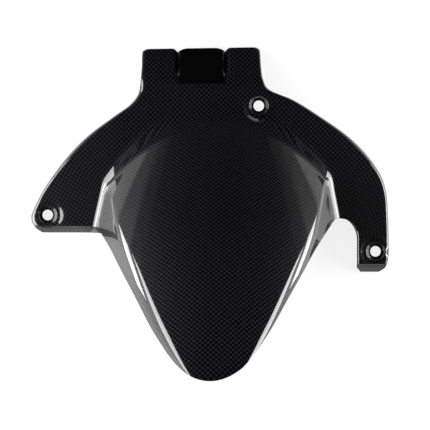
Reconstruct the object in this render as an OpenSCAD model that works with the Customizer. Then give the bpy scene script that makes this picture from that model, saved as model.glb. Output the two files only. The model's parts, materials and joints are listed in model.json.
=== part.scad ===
// Motorcycle rear fender: one moulded carbon-fibre shell over the rear tyre.
// Seen from above: the tongue rises towards -Y, the folded tab is at +Y.
// Lengths are millimetres. The plane z = 0 of the design is the flange beside the arch;
// the finished shell is moved so that it rests on z = 0, centred on the origin.

/* [Shell] */
// Thickness of the laminate
shell_t = 1.8; // [1.4:0.1:2.4]

/* [Arch over the tyre] */
// Radius of the arch across the tongue
arch_r = 137; // [125:1:150]
// Place of the crown line across the part
arch_x = 4; // [0:0.5:8]
// Where the crown line leaves the flange
crown_y = 86; // [82:0.5:90]
// Height of the crown line there
crown_z = 4; // [2:0.5:6]
// Rise of the crown line per millimetre, at its foot
crown_rise = 0.86; // [0.8:0.01:0.92]
// How fast the rise eases off towards the tip
crown_ease = 0.00036; // [0.0002:0.00002:0.0005]
// Radius-like size of the soft fold between arch and flange
fold_soft = 9; // [6:0.5:12]

/* [Side walls of the tongue] */
// Middle line of the tongue at y = 0
tongue_x = -2; // [-5:0.1:0]
// Drift of that middle line per millimetre of y
tongue_lean = 0.018; // [0:0.002:0.03]
// Middle line of the shoulders at y = 0
shoulder_x = 0.6; // [-2:0.1:2]
// Drift of the shoulders' middle line per millimetre of y
shoulder_lean = 0.01; // [0:0.002:0.03]
// Fall of a wall per millimetre outwards
wall_fall = 2.2; // [1.8:0.05:2.6]
// Softness of the shoulder where the tongue is widest
shoulder_top = 3.5; // [2.5:0.5:6]
// Softness of the shoulder half way down the tongue
shoulder_low = 9; // [6:0.5:12]

/* [Flange] */
// Fall of the flange per millimetre outwards
flange_fall = 0.13; // [0.08:0.01:0.18]
// Half axes of the curve that the flange falls away from
flange_axes = [108, 104]; // [90:1:120]
// Centre of that curve
flange_mid = [5, -10]; // [-20:1:20]
// Width of the rolled outer edge, seen from above
roll_w = 2.8; // [2.4:0.1:3.2]
// Depth of the outer lip beside the tab
lip_top = 4; // [3:0.5:6]
// Depth of the lip along the sides of the tab
lip_tab = 2; // [1.5:0.25:2.5]
// Depth of the lip along the inner side of the leg
lip_leg = 3; // [2:0.5:4]
// Drop from the flange plane to the lowest edges
floor_drop = 21; // [19:0.5:22]

/* [Tab] */
// Line where the tab folds down
crease_y = 114; // [112:0.5:116]
// Line of the tab's lower edge
tab_y = 146; // [144:0.5:148]
// How much that edge runs askew, per millimetre of x
tab_skew = 0.017; // [0:0.001:0.03]
// Height of the tab plane at the crease
crease_z = -2.4; // [-4:0.1:-1]
// Softness of the crease
crease_soft = 1.6; // [1.2:0.2:2.4]
// Bottoms of the two grooves, left and right
groove_x = [-32.9, 9]; // [-40:0.1:20]
// Width of a groove on the side of its outer lobe
groove_out = 4.5; // [4:0.25:8]
// Width of a groove on the side of the middle lobe
groove_in = 2.2; // [1.8:0.1:3]
// Length of the notch where a groove runs out over the edge
notch_len = 3.4; // [2:0.2:4]
// How far a notch rounds the corners of the outer lobes and of the middle lobe
notch_reach = [4.5, 9]; // [3:0.5:10]
// Depth of the grooves at the edge of the tab
groove_edge = 1.8; // [1.5:0.1:3]
// Depth of the grooves half way up the tab
groove_mid = 3.4; // [2:0.1:4]

/* [Bolt seats] */
// Diameter of the bolt holes
bore_d = 9.2; // [8:0.1:10]
// Diameter of the seat at its rim
seat_d = 16.4; // [15:0.2:17]
// Diameter of the flat floor of the seat
seat_floor_d = 12.8; // [12:0.2:13.6]
// Depth of the floor below the rim
seat_depth = 2.8; // [2:0.2:3.4]
// How far the rim stands proud of the flange
seat_proud = 0.35; // [0.2:0.05:0.6]
// Radius of level flange round a seat
pad_r = 9.5; // [9:0.5:11]
// Radius at which the flange is back on its own slope
pad_blend_r = 15; // [13:0.5:17]
// Places of the seats: left wing, front, right leg
seats = [[-145.8, 0], [38, 94.8], [139.6, -31.6]]; // [-150:0.1:150]
// How far each seat is sunk into the flange
seat_sink = [0, 0.8, 0]; // [0:0.1:1.5]

/* [Hidden] */
carbon = "#1b1b1e";

// Outer outline of the left side, as [y, x] from the tab's edge to the wing's end
left_edge = [[146, -61], [144.6, -63.2], [142, -64], [130, -64], [114, -65], [105, -67], [96, -74],
             [87, -86.5], [70, -109.5], [53, -127.5], [35, -142.6], [18, -154], [1, -162],
             [-4, -162.3], [-8, -161], [-12, -157.6], [-15.4, -152]];
// Outer outline of the right side, from the tab's edge to the leg's end
right_edge = [[146, 36.6], [144.6, 38.8], [142, 39.6], [130, 40.2], [117, 42], [109, 47.4],
              [100.5, 67.5], [87, 89.5], [70, 114], [53, 132.5], [35, 146], [18, 151.5], [0, 152.8],
              [-20, 153.4], [-34, 153.4], [-42.5, 152.2], [-47, 149.4], [-50, 144.5]];
// Half width of the tongue at its shoulders, as [y, half width]
shoulder_line = [[60, 109], [34, 99], [20, 93], [-14, 81], [-48, 63], [-78, 46.5], [-91, 38.6],
                 [-103, 30.6], [-113, 23.6], [-125, 15]];
// Half width of the tongue at its trimmed edges
tongue_edge = [[-2.6, 106.4], [-15.4, 95.4], [-28, 85.4], [-44, 75], [-66, 60.2], [-88, 46],
               [-102, 35.3], [-109, 29.2], [-113, 25]];

// Where the tongue's tip starts to round, where its sides end, and how far the tip bulges past that
tip_start = -100;
tip_side = -113;
tip_bulge = 9.4;
// Rim drop round the tip
tip_roll = 3;
// Fall of the tab per millimetre, so that the underside of its edge comes down to the lowest plane
tab_lift = 2.1;
tab_fall = (floor_drop - tab_lift + crease_z) / (tab_y - crease_y);
// Length of tab over which the shape of its edge dies out
tab_fade = 12;
// Line where the grooves are deepest
groove_y = 131;
// Gap between tongue and leg: its apex, and the quarter curve of the leg's inner edge
gap_y = -2.6;
gap_x = 108;
gap_reach = [15.2, 19.4];
// Rounded corner at the inner end of the leg: its width and its length
leg_corner = [4.5, 7];
// Straight lower edge of the left wing, end of the right leg, and where their lips begin
wing_end = -15.4;
leg_end = -50;
wing_lip = -9.8;
leg_lip = -42.6;

// Rows of sections, from the tab's edge to the tip
row_y = [tab_y, 144.4, 141.6, 137.5, 133, 129, 125, 121, 117.5, crease_y, 111, 107, 103, 99, 95,
         91, 87, 83, 78.5, 74, 69, 64, 59, 54, 49, 44, 39, 34, 29, 24, 19.5, 15, 10.5, 6, 1.5,
         gap_y, -4, -6.2, wing_lip, -11.6, -13.5, wing_end, -20, -26, -32, -38, leg_lip, -45,
         -47.6, leg_end, -57, -64, -71, -78, -85, -91, -96, tip_start, -104, -107.5, -110.5,
         tip_side];
// Columns: outer lip, wing, fold, wall, shoulder, arch, and the same mirrored
col_last = 40;
col_left_wall = 10;
col_right_wall = 30;
col_leg = 33;

// Smooth minimum and maximum of two heights
function soft_min(a, b, s) = let(h = max(s - abs(a - b), 0) / s) min(a, b) - h * h * s / 4;
function soft_max(a, b, s) = -soft_min(-a, -b, s);
// 0 at a, 1 at b, eased at both ends
function ease(a, b, x) = let(t = min(max((x - a) / (b - a), 0), 1)) t * t * (3 - 2 * t);
function mix(a, b, t) = a + (b - a) * t;

// Smooth curve through [y, value] pairs listed with falling y
function span(pts, y, i = 0) = i >= len(pts) - 2 || y > pts[i + 1][0] ? i : span(pts, y, i + 1);
function tangent(pts, i) =
    let(a = pts[max(i - 1, 0)], b = pts[min(i + 1, len(pts) - 1)]) (b[1] - a[1]) / (b[0] - a[0]);
function curve(pts, y) =
    let(i = span(pts, y), a = pts[i], b = pts[i + 1], d = b[0] - a[0], t = (y - a[0]) / d)
    (2 * t ^ 3 - 3 * t ^ 2 + 1) * a[1] + (t ^ 3 - 2 * t ^ 2 + t) * d * tangent(pts, i)
    + (3 * t ^ 2 - 2 * t ^ 3) * b[1] + (t ^ 3 - t ^ 2) * d * tangent(pts, i + 1);

// Arch: a cylinder tilted along the crown line
function crown(y) = let(d = crown_y - y) crown_z + crown_rise * d - crown_ease * d * d;
function lean(y) = let(s = crown_rise - 2 * crown_ease * (crown_y - y)) sqrt(1 + s * s);
function sag(x) = arch_r - sqrt(max(arch_r ^ 2 - (x - arch_x) ^ 2, 0));
function arch(x, y) = crown(y) - sag(x) * lean(y);

// Tongue: the arch, cut off on each side by a drafted wall that hangs from the shoulder
function middle(y) = tongue_x + tongue_lean * y;
function shoulder(y, side) = shoulder_x + shoulder_lean * y + side * curve(shoulder_line, y);
function wall(x, y, side) =
    let(s = shoulder(y, side)) arch(s, y) - wall_fall * side * (x - s);
function shoulder_soft(y) =
    mix(shoulder_top, shoulder_low, ease(15, -50, y)) * (1 - 0.5 * ease(-90, -115, y));
function tongue(x, y) =
    let(walls = min(wall(x, y, -1), wall(x, y, 1))) soft_min(arch(x, y), walls, shoulder_soft(y));

// Flange: falls gently away from the foot of the arch
function flange(x, y) =
    let(a = flange_axes, c = flange_mid, v = max(y - c[1], 0) / a[1])
    -flange_fall * a[1] * (sqrt(((x - c[0]) / a[0]) ^ 2 + v * v) - 1);
function open_surface(x, y) = soft_max(flange(x, y), tongue(x, y), fold_soft);

// Level pads round the bolt seats
function seat_z(i) = open_surface(seats[i][0], seats[i][1]) - seat_sink[i];
function padded(x, y, z, i) =
    mix(seat_z(i), z, ease(pad_r, pad_blend_r, norm([x, y] - seats[i])));
function top_z(x, y) = padded(x, y, padded(x, y, padded(x, y, open_surface(x, y), 0), 1), 2);

// Tab: a plane past the crease with two grooves between its three lobes
function groove(x, g, side) =
    let(d = (x - groove_x[g]) * side) max(0, 1 - abs(d) / (d > 0 ? groove_out : groove_in));
function grooves(x) = max(groove(x, 0, -1), groove(x, 1, 1));
function groove_depth(y) =
    y > groove_y ? mix(groove_mid, groove_edge, ease(groove_y, tab_y, y))
    : groove_mid * ease(crease_y - 1, groove_y, y);
function tab(x, y) = crease_z - tab_fall * (y - crease_y) - grooves(x) * groove_depth(y);
function skin(x, y) =
    y < crease_y - 12 ? top_z(x, y) : soft_min(top_z(x, y), tab(x, y), crease_soft);

// Edges of the part in each row
function left_x(y) = curve(left_edge, max(y, wing_end));
function right_x(y) = curve(right_edge, max(y, leg_end));
function edge_x(y, side) = middle(y) + side * curve(tongue_edge, min(y, gap_y));
function leg_inner_x(y) =
    let(c = max(-1, 1 - (gap_y - y) / gap_reach[1]), full = y < gap_y - gap_reach[1],
        corner = leg_corner[0] * ease(leg_end + leg_corner[1], leg_end, y) ^ 2)
    gap_x + gap_reach[0] * (full ? 1 : sqrt(1 - c * c)) + corner;

// Stations across one side of a row, from the outer edge to the shoulder, measured outwards
function foot(y, side) =
    let(s = shoulder(y, side), d = max(crown(y), 0) / lean(y))
    min(side * s + max(arch(s, y), 0) / wall_fall, side * arch_x + sqrt(2 * arch_r * d - d * d));
function outline_x(y, side) = side < 0 ? left_x(y) : right_x(y);
function slant(y, side) = let(d = (outline_x(y + 1, side) - outline_x(y - 1, side)) / 2) sqrt(1 + d * d);
function half_row(y, side) =
    let(out = side * outline_x(y, side), r = roll_w * slant(y, side), f = foot(y, side),
        cut = side * edge_x(y, side), last = side < 0 ? wing_end : gap_y,
        near = ease(side < 0 ? 0 : 12, last, y), q = side < 0 ? 0 : near,
        w10 = y > last ? mix(f - 3, cut, near) : cut,
        w7 = q > 0 && y <= gap_y ? leg_inner_x(y) : mix(f + 6, gap_x, q),
        w8 = mix(f + 3, mix(w10, gap_x, 2 / 3), q), w9 = mix(f, mix(w10, gap_x, 1 / 3), q),
        w3 = out - 1.5 * r, w6 = mix(mix(w3, w7, 0.75), w7 + 2.4, q),
        s = min(side * shoulder(y, side), y > last ? f - 10 : w10 - 1.2),
        b = 0.62 * shoulder_soft(y), a = min(b, 0.6 * (w10 - s)))
    [out, out - 0.4 * r, out - 0.8 * r, w3, mix(w3, w6, 1 / 3), mix(w3, w6, 2 / 3), w6, w7, w8, w9,
     w10, (w10 + s + a) / 2, s + a, s + a / 3, s - b / 3, s - b];
function open_row(y) =
    let(l = half_row(y, -1), r = half_row(y, 1), a = -l[15], b = r[15])
    [for (v = l) -v, for (j = [1:9]) mix(a, b, j / 10), for (j = [15:-1:0]) r[j]];
// Stations across the tab, with one on every edge of the grooves
function ramp(a, b, n) = [for (j = [0:n - 1]) mix(a, b, j / n)];
function tab_row(a, b) =
    let(g = groove_x) concat(ramp(a, g[0] - groove_out, 10), ramp(g[0] - groove_out, g[0], 3),
    ramp(g[0], g[0] + groove_in, 1), ramp(g[0] + groove_in, g[1] - groove_in, 13),
    ramp(g[1] - groove_in, g[1], 1), ramp(g[1], g[1] + groove_out, 3), ramp(g[1] + groove_out, b, 9), [b]);
crease_row = tab_row(left_x(crease_y), right_x(crease_y));
function upper_row(y) =
    let(a = left_x(y), b = right_x(y), c = crease_row)
    y > crease_y ? tab_row(a, b) : [for (x = c) mix(a, b, (x - c[0]) / (c[col_last] - c[0]))];
function row_x(y) =
    let(t = ease(50, 100, y))
    t >= 1 ? upper_row(y) : let(p = open_row(y))
    t <= 0 ? p : let(u = upper_row(y)) [for (j = [0:col_last]) mix(p[j], u[j], t)];

// Share of the lip's drop at each column and row
function side_share(j, y) =
    let(e = min(j, col_last - j), t = ease(50, 100, y))
    e > 2 ? 0 : mix([1, 0.45, 0.12][e], [1, 0.12, 0][e], t);
function end_share(j, y) =
    j >= col_leg && y < leg_lip ? (leg_lip - y) / (leg_lip - leg_end)
    : j <= col_left_wall && y < wing_lip && y >= wing_end
    ? (wing_lip - y) / (wing_lip - wing_end) * ease(col_left_wall, 5.5, j) : 0;
function lip_z(z, y) =
    mix(z - mix(lip_top, lip_tab, ease(104, 117, y)), -floor_drop, ease(75, 8, y));
function leg_lip_z(j, y, z) =
    j == col_leg && y < gap_y ? z - lip_leg * ease(gap_y, gap_y - 8, y) : z;

// One point of the outer surface
function lobe_corner(x, g, side) =
    let(d = (x - groove_x[g]) * side) max(0, 1 - abs(d) / notch_reach[d > 0 ? 0 : 1]) ^ 2;
function tab_edge(x, y) =
    (tab_skew * (x - left_edge[0][1]) - notch_len * max(lobe_corner(x, 0, -1), lobe_corner(x, 1, 1)))
    * max(0, 1 - (tab_y - y) / tab_fade);
function tip_share(y) = max(0, (tip_start - y) / (tip_start - tip_side));
function point(i, j, x) =
    let(row = row_y[i], t = tip_share(row), half = curve(tongue_edge, min(row, gap_y)),
        s = t > 0 ? (x - middle(row)) / half : 0,
        y = row + tab_edge(x, row) - t * tip_bulge * (1 - s * s),
        z = leg_lip_z(j, y, skin(x, y)) - tip_roll * t ^ 4 * (1 - 0.7 * s * s),
        share = max(row < leg_end ? 0 : side_share(j, row), end_share(j, row)))
    [x, y, share > 0 ? mix(z, lip_z(z, row), share) : z];

row_last = len(row_y) - 1;
outer = [for (i = [0:row_last]) let(xs = row_x(row_y[i])) [for (j = [0:col_last]) point(i, j, xs[j])]];

// Which grid points belong to the part, and the inner surface one thickness below
function used(i, j) =
    i < 0 || j < 0 || i > row_last || j > col_last ? false
    : row_y[i] >= gap_y ? true
    : row_y[i] >= wing_end ? j <= col_right_wall || j >= col_leg
    : (j >= col_left_wall && j <= col_right_wall) || (j >= col_leg && row_y[i] >= leg_end);
function cell(i, j) = used(i, j) && used(i, j + 1) && used(i + 1, j) && used(i + 1, j + 1);
function step_j(i, j, d) = used(i, j + d) && (cell(i, min(j, j + d)) || cell(i - 1, min(j, j + d)))
    ? outer[i][j + d] : outer[i][j];
function step_i(i, j, d) = used(i + d, j) ? outer[i + d][j] : outer[i][j];
function inward(i, j) =
    let(n = cross(step_j(i, j, 1) - step_j(i, j, -1), step_i(i, j, 1) - step_i(i, j, -1))) n / norm(n);
inner = [for (i = [0:row_last]) [for (j = [0:col_last])
    used(i, j) ? outer[i][j] + shell_t * inward(i, j) : outer[i][j]]];

// The grid as one closed skin
per_row = col_last + 1;
count = per_row * (row_last + 1);
function at(i, j) = i * per_row + j;
function rim(p, q) = [[q, p, p + count], [q, p + count, q + count]];
function cell_faces(i, j) =
    let(a = at(i, j), b = a + 1, d = a + per_row, c = d + 1, n = count)
    concat([[a, b, c], [a, c, d], [a + n, c + n, b + n], [a + n, d + n, c + n]],
           cell(i - 1, j) ? [] : rim(a, b), cell(i, j + 1) ? [] : rim(b, c),
           cell(i + 1, j) ? [] : rim(c, d), cell(i, j - 1) ? [] : rim(d, a));
skin_points = [for (side = [outer, inner]) for (row = side) for (p = row) p];
skin_faces = [for (i = [0:row_last - 1]) for (j = [0:col_last - 1]) if (cell(i, j))
    for (f = cell_faces(i, j)) f];

// Place of the finished shell: centred over its base, resting on z = 0
all_used = [for (i = [0:row_last]) for (j = [0:col_last]) if (used(i, j)) for (s = [outer, inner]) s[i][j]];
low = [for (k = [0:2]) min([for (p = all_used) p[k]])];
high = [for (k = [0:2]) max([for (p = all_used) p[k]])];
origin = [(low[0] + high[0]) / 2, (low[1] + high[1]) / 2, low[2]];

module moulded_skin() {
    polyhedron(points = skin_points, faces = skin_faces, convexity = 8);
}

// Dished bolt seat: proud rim, sloping wall, flat floor with the bore
module seat() {
    rim_r = seat_d / 2;
    floor_r = seat_floor_d / 2;
    rotate_extrude($fn = 48) polygon([
        [bore_d / 2, -seat_depth], [floor_r, -seat_depth], [rim_r - 0.4, seat_proud - 0.5],
        [rim_r, seat_proud], [rim_r + 0.7, seat_proud], [rim_r + 1.8, -1], [rim_r + 1, -shell_t - 0.5],
        [floor_r + 1.5, -seat_depth - shell_t], [bore_d / 2, -seat_depth - shell_t]]);
}

module fender_shell() {
    color(carbon) translate(-origin) {
        difference() {
            moulded_skin();
            for (i = [0:2]) translate([seats[i][0], seats[i][1], seat_z(i) - 6])
                cylinder(h = 12, d = seat_d + 0.5, $fn = 48);
        }
        for (i = [0:2]) translate([seats[i][0], seats[i][1], seat_z(i)]) seat();
    }
}

fender_shell();
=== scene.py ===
"""Motorcycle rear fender: a clear-coated carbon-fibre shell, photographed from above.

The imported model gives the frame. The shell is moulded again here, with the same forms and a finer
surface, its woven carbon laid along the cloth, and its three bolt seats pressed into it.
"""
import json
import logging
import math
from dataclasses import dataclass, field
from enum import Enum
from typing import Any, Callable, Sequence

import bmesh
import bpy
import numpy as np
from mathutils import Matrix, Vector, geometry


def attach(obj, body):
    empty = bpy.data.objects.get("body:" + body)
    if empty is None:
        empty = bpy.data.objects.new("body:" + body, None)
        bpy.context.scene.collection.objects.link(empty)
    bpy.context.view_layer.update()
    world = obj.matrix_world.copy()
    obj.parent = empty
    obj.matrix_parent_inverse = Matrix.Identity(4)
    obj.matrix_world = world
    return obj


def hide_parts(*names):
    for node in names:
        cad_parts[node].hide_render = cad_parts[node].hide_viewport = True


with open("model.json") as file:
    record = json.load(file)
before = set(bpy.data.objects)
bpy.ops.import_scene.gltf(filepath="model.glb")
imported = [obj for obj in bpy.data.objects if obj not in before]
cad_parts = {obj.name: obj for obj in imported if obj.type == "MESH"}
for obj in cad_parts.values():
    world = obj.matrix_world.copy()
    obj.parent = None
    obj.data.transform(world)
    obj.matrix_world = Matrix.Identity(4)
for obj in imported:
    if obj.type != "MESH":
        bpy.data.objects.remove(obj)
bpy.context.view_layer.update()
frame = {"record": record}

MM = 0.001
NODE = "fender_shell"
BODY = "root"
TINY = 1e-9
WHITE = (1.0, 1.0, 1.0, 1.0)

Array = np.ndarray
Pair = tuple[float, float]
Pairs = Sequence[Pair]
log = logging.getLogger("rear_fender")


class Side(Enum):
    """The two sides of the part, as the sign of x."""

    LEFT = -1
    RIGHT = 1


def ease(a: float, b: float, x: Array) -> Array:
    """Go from 0 at a to 1 at b, eased at both ends."""
    t = np.clip((x - a) / (b - a), 0.0, 1.0)
    return t * t * (3 - 2 * t)


def mix(a: Array, b: Array, t: Array) -> Array:
    """Blend a into b by t."""
    return a + (b - a) * t


def soft_min(a: Array, b: Array, size: Array) -> Array:
    """Take the lower of two heights, rounded over a stretch of the given size."""
    h = np.maximum(size - np.abs(a - b), 0.0) / size
    return np.minimum(a, b) - h * h * size / 4


def soft_max(a: Array, b: Array, size: Array) -> Array:
    """Take the higher of two heights, rounded over a stretch of the given size."""
    return -soft_min(-a, -b, size)


def curve(pairs: Pairs, y: Array) -> Array:
    """Run a smooth curve through pairs of place and value.

    Args:
        pairs: Places with falling y, each with its value.
        y: Where the curve is read.

    Returns:
        The values at y.
    """
    place, value = np.array(pairs, float).T
    last = len(place) - 1
    lower, upper = np.maximum(np.arange(last + 1) - 1, 0), np.minimum(np.arange(last + 1) + 1, last)
    tangent = (value[upper] - value[lower]) / (place[upper] - place[lower])
    i = np.clip(np.searchsorted(-place, -np.asarray(y, float), side="left") - 1, 0, last - 1)
    d = place[i + 1] - place[i]
    t = (y - place[i]) / d
    return ((2 * t**3 - 3 * t**2 + 1) * value[i] + (t**3 - 2 * t**2 + t) * d * tangent[i]
            + (3 * t**2 - 2 * t**3) * value[i + 1] + (t**3 - t**2) * d * tangent[i + 1])


@dataclass
class Arch:
    """The arch over the tyre: a cylinder tilted along the crown line, cut off by drafted walls."""

    radius: float = 137.0
    crown_x: float = 4.0
    foot_y: float = 86.0
    foot_z: float = 4.0
    rise: float = 0.86
    ease_off: float = 0.00036
    middle_x: float = -2.0
    middle_lean: float = 0.018
    shoulder_x: float = 0.6
    shoulder_lean: float = 0.01
    wall_fall: float = 2.2
    shoulder_top: float = 3.5
    shoulder_low: float = 9.0
    shoulder_rows: Pair = (15.0, -50.0)
    tip_rows: Pair = (-90.0, -115.0)
    tip_share: float = 0.5
    shoulder_line: Pairs = ((60, 109), (34, 99), (20, 93), (-14, 81), (-48, 63), (-78, 46.5),
                            (-91, 38.6), (-103, 30.6), (-113, 23.6), (-125, 15))
    edge_line: Pairs = ((-2.6, 106.4), (-15.4, 95.4), (-28, 85.4), (-44, 75), (-66, 60.2),
                        (-88, 46), (-102, 35.3), (-109, 29.2), (-113, 25))

    def crown(self, y: Array) -> Array:
        """Height of the crown line."""
        d = self.foot_y - y
        return self.foot_z + self.rise * d - self.ease_off * d * d

    def slope(self, y: Array) -> Array:
        """Rise of the crown line per millimetre."""
        return self.rise - 2 * self.ease_off * (self.foot_y - y)

    def lean(self, y: Array) -> Array:
        """Stretch of a sag that is measured square to the crown line."""
        return np.sqrt(1 + self.slope(y) ** 2)

    def sag(self, x: Array) -> Array:
        """Drop of the round section away from the crown line."""
        return self.radius - np.sqrt(np.maximum(self.radius**2 - (x - self.crown_x) ** 2, 0.0))

    def height(self, x: Array, y: Array) -> Array:
        """Height of the tilted cylinder."""
        return self.crown(y) - self.sag(x) * self.lean(y)

    def middle(self, y: Array) -> Array:
        """Middle line of the tongue."""
        return self.middle_x + self.middle_lean * y

    def shoulder(self, y: Array, side: Side) -> Array:
        """Line where a wall leaves the arch."""
        return (self.shoulder_x + self.shoulder_lean * y
                + side.value * curve(self.shoulder_line, y))

    def edge(self, y: Array, side: Side) -> Array:
        """Trimmed edge of a wall."""
        start = self.edge_line[0][0]
        return self.middle(y) + side.value * curve(self.edge_line, np.minimum(y, start))

    def wall(self, x: Array, y: Array, side: Side) -> Array:
        """Height of a drafted wall."""
        s = self.shoulder(y, side)
        return self.height(s, y) - self.wall_fall * side.value * (x - s)

    def shoulder_soft(self, y: Array) -> Array:
        """Softness of the shoulder along the tongue."""
        return (mix(self.shoulder_top, self.shoulder_low, ease(*self.shoulder_rows, y))
                * (1 - self.tip_share * ease(*self.tip_rows, y)))

    def tongue(self, x: Array, y: Array) -> Array:
        """Height of the arch with its walls."""
        walls = np.minimum(self.wall(x, y, Side.LEFT), self.wall(x, y, Side.RIGHT))
        return soft_min(self.height(x, y), walls, self.shoulder_soft(y))


@dataclass
class Flange:
    """The flat band round the foot of the arch, with its wing, its leg and its rolled lip."""

    fall: float = 0.13
    axes: Pair = (108.0, 104.0)
    centre: Pair = (5.0, -10.0)
    roll: float = 2.8
    roll_reach: float = 1.5
    roll_power: float = 2.2
    tab_reach: float = 7.8
    tab_power: float = 5.2
    end_power: float = 1.15
    lip_top: float = 4.0
    lip_tab: float = 2.0
    lip_rows: Pair = (104.0, 117.0)
    lip_leg: float = 3.0
    floor_drop: float = 21.0
    floor_rows: Pair = (75.0, 8.0)
    left_edge: Pairs = ((146, -61), (144.6, -63.2), (142, -64), (130, -64), (114, -65), (105, -67),
                        (96, -74), (87, -86.5), (70, -109.5), (53, -127.5), (35, -142.6),
                        (18, -154), (1, -162), (-4, -162.3), (-8, -161), (-12, -157.6),
                        (-15.4, -152))
    right_edge: Pairs = ((146, 36.6), (144.6, 38.8), (142, 39.6), (130, 40.2), (117, 42),
                         (109, 47.4), (100.5, 67.5), (87, 89.5), (70, 114), (53, 132.5), (35, 146),
                         (18, 151.5), (0, 152.8), (-20, 153.4), (-34, 153.4), (-42.5, 152.2),
                         (-47, 149.4), (-50, 144.5))

    def height(self, x: Array, y: Array) -> Array:
        """Height of the open flange."""
        u = (x - self.centre[0]) / self.axes[0]
        v = np.maximum(y - self.centre[1], 0.0) / self.axes[1]
        return -self.fall * self.axes[1] * (np.sqrt(u * u + v * v) - 1)


@dataclass
class Tab:
    """The folded tab: three lobes with a groove between each two."""

    crease_y: float = 114.0
    end_y: float = 146.0
    crease_z: float = -2.4
    edge_lift: float = 2.1
    edge_skew: float = 0.017
    edge_fade: float = 12.0
    crease_soft: float = 1.6
    crease_reach: float = 12.0
    grooves_x: Pair = (-32.9, 9.0)
    groove_out: float = 4.5
    groove_in: float = 2.2
    groove_edge: float = 1.8
    groove_mid: float = 3.4
    groove_y: float = 131.0
    notch_len: float = 3.4
    notch_reach: Pair = (4.5, 9.0)

    def fall(self, floor_drop: float) -> float:
        """Fall per millimetre that brings the edge down to the lowest plane."""
        return (floor_drop - self.edge_lift + self.crease_z) / (self.end_y - self.crease_y)

    def grooves(self, x: Array) -> Array:
        """Depth share of the grooves across the tab."""
        share = np.zeros_like(x)
        for place, side in zip(self.grooves_x, (-1, 1)):
            d = (x - place) * side
            width = np.where(d > 0, self.groove_out, self.groove_in)
            share = np.maximum(share, 1 - np.abs(d) / width)
        return share

    def edge(self, x: Array, y: Array, start: float) -> Array:
        """Shift of the lower edge: askew, and notched where a groove runs out.

        Args:
            x: Places across the tab.
            y: Rows of the points.
            start: Left end of the edge.

        Returns:
            The shift along y, which dies out up the tab.
        """
        corner = np.zeros_like(x)
        for place, side in zip(self.grooves_x, (-1, 1)):
            d = (x - place) * side
            reach = np.where(d > 0, *self.notch_reach)
            corner = np.maximum(corner, np.maximum(0.0, 1 - np.abs(d) / reach) ** 2)
        fade = np.maximum(0.0, 1 - (self.end_y - y) / self.edge_fade)
        return (self.edge_skew * (x - start) - self.notch_len * corner) * fade

    def depth(self, y: Array) -> Array:
        """Depth of the grooves along the tab."""
        far = mix(self.groove_mid, self.groove_edge, ease(self.groove_y, self.end_y, y))
        near = self.groove_mid * ease(self.crease_y - 1, self.groove_y, y)
        return np.where(y > self.groove_y, far, near)


@dataclass
class BoltSeats:
    """Three dished seats, each with a bore through its floor."""

    places: Pairs = ((-145.8, 0.0), (38.0, 94.8), (139.6, -31.6))
    mounts: tuple[str, ...] = ("wing_bolt", "front_bolt", "leg_bolt")
    sink: tuple[float, ...] = (0.0, 0.8, 0.0)
    pad_r: float = 9.5
    pad_blend_r: float = 15.0
    rim_r: float = 8.9
    depth: float = 2.8
    bore_r: float = 4.6
    around: int = 96

    def circle(self) -> Array:
        """Points round a circle of radius 1."""
        turn = np.arange(self.around) * 2 * math.pi / self.around
        return np.stack([np.cos(turn), np.sin(turn)], axis=1)

    def profile(self, wall: float) -> list[Pair]:
        """Section of a seat from its rim on top, through the bore, to its rim below.

        Args:
            wall: Thickness of the laminate.

        Returns:
            Pairs of radius and height over the level pad, in millimetres.
        """
        r, d, b = self.rim_r, self.depth, self.bore_r
        top = [(r, 0.0), (r - 0.25, -0.03), (r - 0.55, -0.14), (r - 0.8, -0.36), (r - 1.0, -0.7),
               (r - 1.25, -1.15), (r - 1.55, -1.65), (r - 1.85, -2.15), (r - 2.15, -2.5),
               (r - 2.55, -2.72), (r - 3.0, -d), (b + 0.7, -d), (b + 0.25, -d - 0.02),
               (b + 0.07, -d - 0.08), (b, -d - 0.25)]
        below = [(b, -d - wall + 0.2), (b + 0.08, -d - wall + 0.06), (b + 0.3, -d - wall),
                 (b + 1.0, -d - wall), (r - 1.6, -d - wall), (r - 1.05, -d - wall + 0.16),
                 (r - 0.6, -d - wall + 0.6), (r - 0.3, -d - wall + 1.3), (r - 0.1, -wall - 0.9),
                 (r, -wall)]
        return top + below


@dataclass
class Gap:
    """The open corner between the tongue and the leg."""

    apex: Pair = (108.0, -2.6)
    reach: Pair = (15.2, 19.4)
    corner: float = 4.5
    corner_len: float = 7.0
    lip_len: float = 8.0

    def leg_inner(self, y: float, leg_end: float) -> float:
        """Inner edge of the leg: a quarter curve, then a straight edge with a rounded corner."""
        t = (self.apex[1] - y) / self.reach[1]
        bow = 1.0 if t > 1 else math.sqrt(max(1 - (1 - t) ** 2, 0.0))
        end = float(ease(leg_end + self.corner_len, leg_end, np.float64(y))) ** 2
        return self.apex[0] + self.reach[0] * bow + self.corner * end


@dataclass
class Tip:
    """The rounded end of the tongue."""

    start: float = -100.0
    side: float = -113.0
    bulge: float = 9.4
    roll: float = 3.0
    side_share: float = 0.7


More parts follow.
